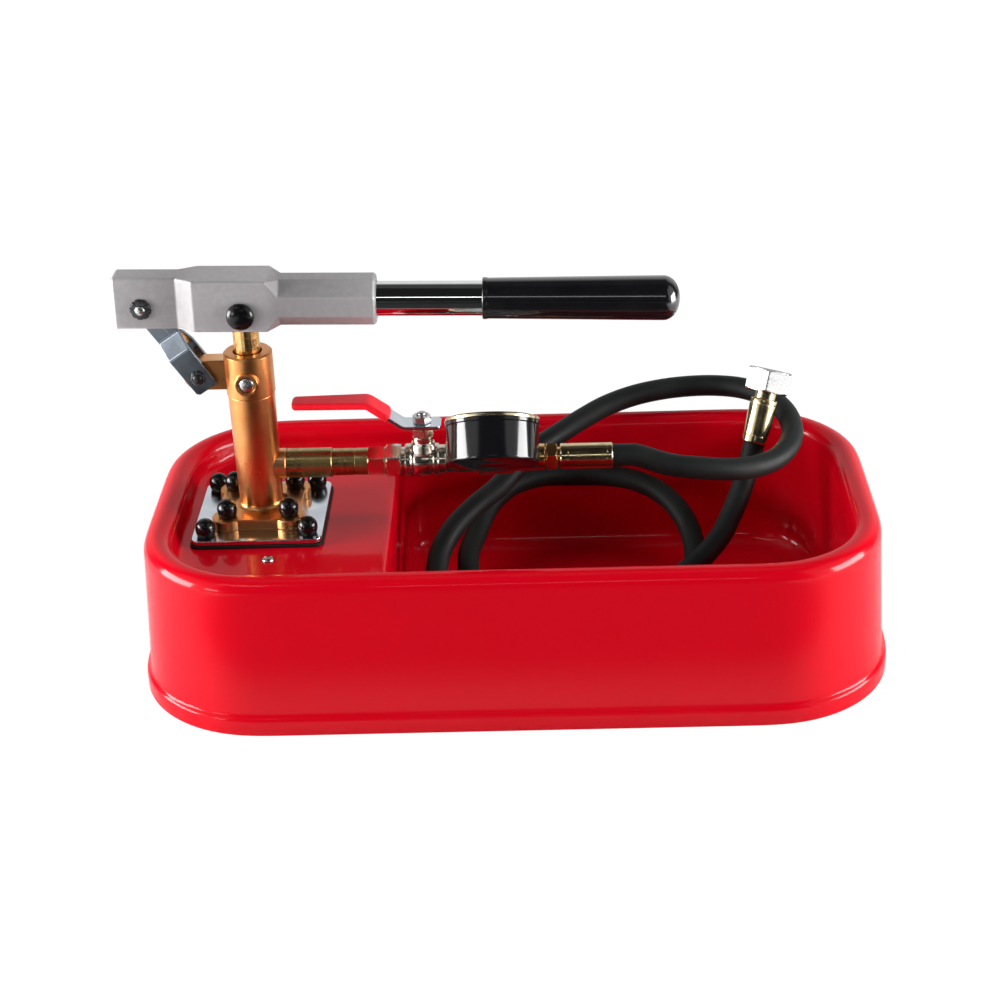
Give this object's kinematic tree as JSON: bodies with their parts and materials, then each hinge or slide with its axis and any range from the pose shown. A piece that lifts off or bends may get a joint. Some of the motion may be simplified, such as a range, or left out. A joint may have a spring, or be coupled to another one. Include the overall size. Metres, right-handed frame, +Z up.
{
  "type": "hydrostatic test pump",
  "caption": "Hand pump for pressure tests: water tub, lever-driven plunger pump, shut-off valve, gauge and pressure hose with a union nut.",
  "frame": {"origin": "floor level, under the middle of the tub", "axes": "+Z up, +X along the tub toward the hose end, front faces -Y"},
  "size_m": [0.4121, 0.218, 0.2206],
  "materials": {
    "red_paint": "gloss",
    "zinc": "satin",
    "steel": "polished",
    "chrome": "polished",
    "nickel": "satin",
    "brass": "satin",
    "orange_brass": "satin",
    "golden_steel": "polished",
    "yellow_zinc": "polished",
    "pale_gold": "polished",
    "cast_grey": "satin",
    "black_steel": "satin",
    "black_plastic": "gloss",
    "glossy_black": "gloss",
    "black_rubber": "matte",
    "hose_black": "matte",
    "red_vinyl": "satin",
    "dial_white": "matte",
    "clear_glass": "clear"
  },
  "bodies": {
    "base": {"tank": "red_paint", "base_gasket": "black_rubber", "mounting_plate": "zinc", "platform_screw": "zinc", "pump_body": "orange_brass", "inlet_ball": "steel", "suction_tube": "steel", "strainer": "zinc", "cylinder_head": "orange_brass", "head_screw": "steel", "rod_seal": "black_rubber", "rod_bush": "brass", "pin_b": "steel", "pin_b_ring_front": "black_steel", "pin_b_ring_back": "black_steel", "outlet_pipe": "golden_steel", "outlet_ball": "steel", "nipple": "golden_steel", "reducer_nut": "nickel", "valve_body": "nickel", "packing_nut": "nickel", "gauge_tee": "nickel", "gauge_case": "glossy_black", "gauge_dial": "dial_white", "gauge_movement": "brass", "gauge_glass": "clear_glass", "gauge_bezel": "pale_gold", "hose_adapter": "golden_steel", "hose_ferrule": "yellow_zinc", "tail_ferrule": "yellow_zinc", "hose": "hose_black", "plate_bolt_1": "black_plastic", "flange_bolt_1": "black_plastic", "plate_bolt_2": "black_plastic", "flange_bolt_2": "black_plastic", "plate_bolt_3": "black_plastic", "flange_bolt_3": "black_plastic", "plate_bolt_4": "black_plastic", "flange_bolt_4": "black_plastic"},
    "piston": {"piston_rod": "golden_steel"},
    "lever": {"lever_head": "cast_grey", "lever_tube": "chrome", "lever_grip": "glossy_black", "pin_a": "steel", "pin_a_ring_front": "black_steel", "pin_a_ring_back": "black_steel", "pin_c": "steel", "pin_c_cap_front": "black_plastic", "pin_c_cap_back": "black_plastic"},
    "link": {"link_front": "zinc", "link_back": "zinc"},
    "valve": {"valve_ball": "chrome", "valve_stem": "steel", "valve_handle": "zinc", "handle_sleeve": "red_vinyl", "handle_nut": "zinc"},
    "needle": {"gauge_pointer": "black_plastic"},
    "union": {"union_nut": "steel"}
  },
  "joints": [
    {"name": "piston_slide", "type": "slide", "parent": "base", "child": "piston", "axis": [0, 0, 1], "range_m": [0, 0.0446]},
    {"name": "lever_swing", "type": "hinge", "parent": "piston", "child": "lever", "pos_m": [-0.139, 0, 0.1996], "axis": [0, -1, 0], "range_deg": [0, 45]},
    {"name": "link_swing", "type": "hinge", "parent": "base", "child": "link", "pos_m": [-0.1657, 0, 0.163], "axis": [0, 1, 0], "range_deg": [0, 17.25]},
    {"name": "valve_turn", "type": "hinge", "parent": "base", "child": "valve", "pos_m": [-0.0474, 0, 0.107], "axis": [0, 0, -1], "range_deg": [0, 90]},
    {"name": "gauge_needle", "type": "hinge", "parent": "base", "child": "needle", "pos_m": [-0.008, -0.04062, 0.1344], "axis": [0, -0.5592, -0.829], "range_deg": [0, 270]},
    {"name": "union_spin", "type": "hinge", "parent": "base", "child": "union", "pos_m": [0.1386, 0.0422, 0.0916], "axis": [0.2368, 0.3561, 0.9039], "continuous": true}
  ],
  "couplings": [
    {"joint": "piston_slide", "follows": "lever_swing", "m_per_rad": 0.05666},
    {"joint": "link_swing", "follows": "lever_swing", "ratio": 0.3822}
  ]
}
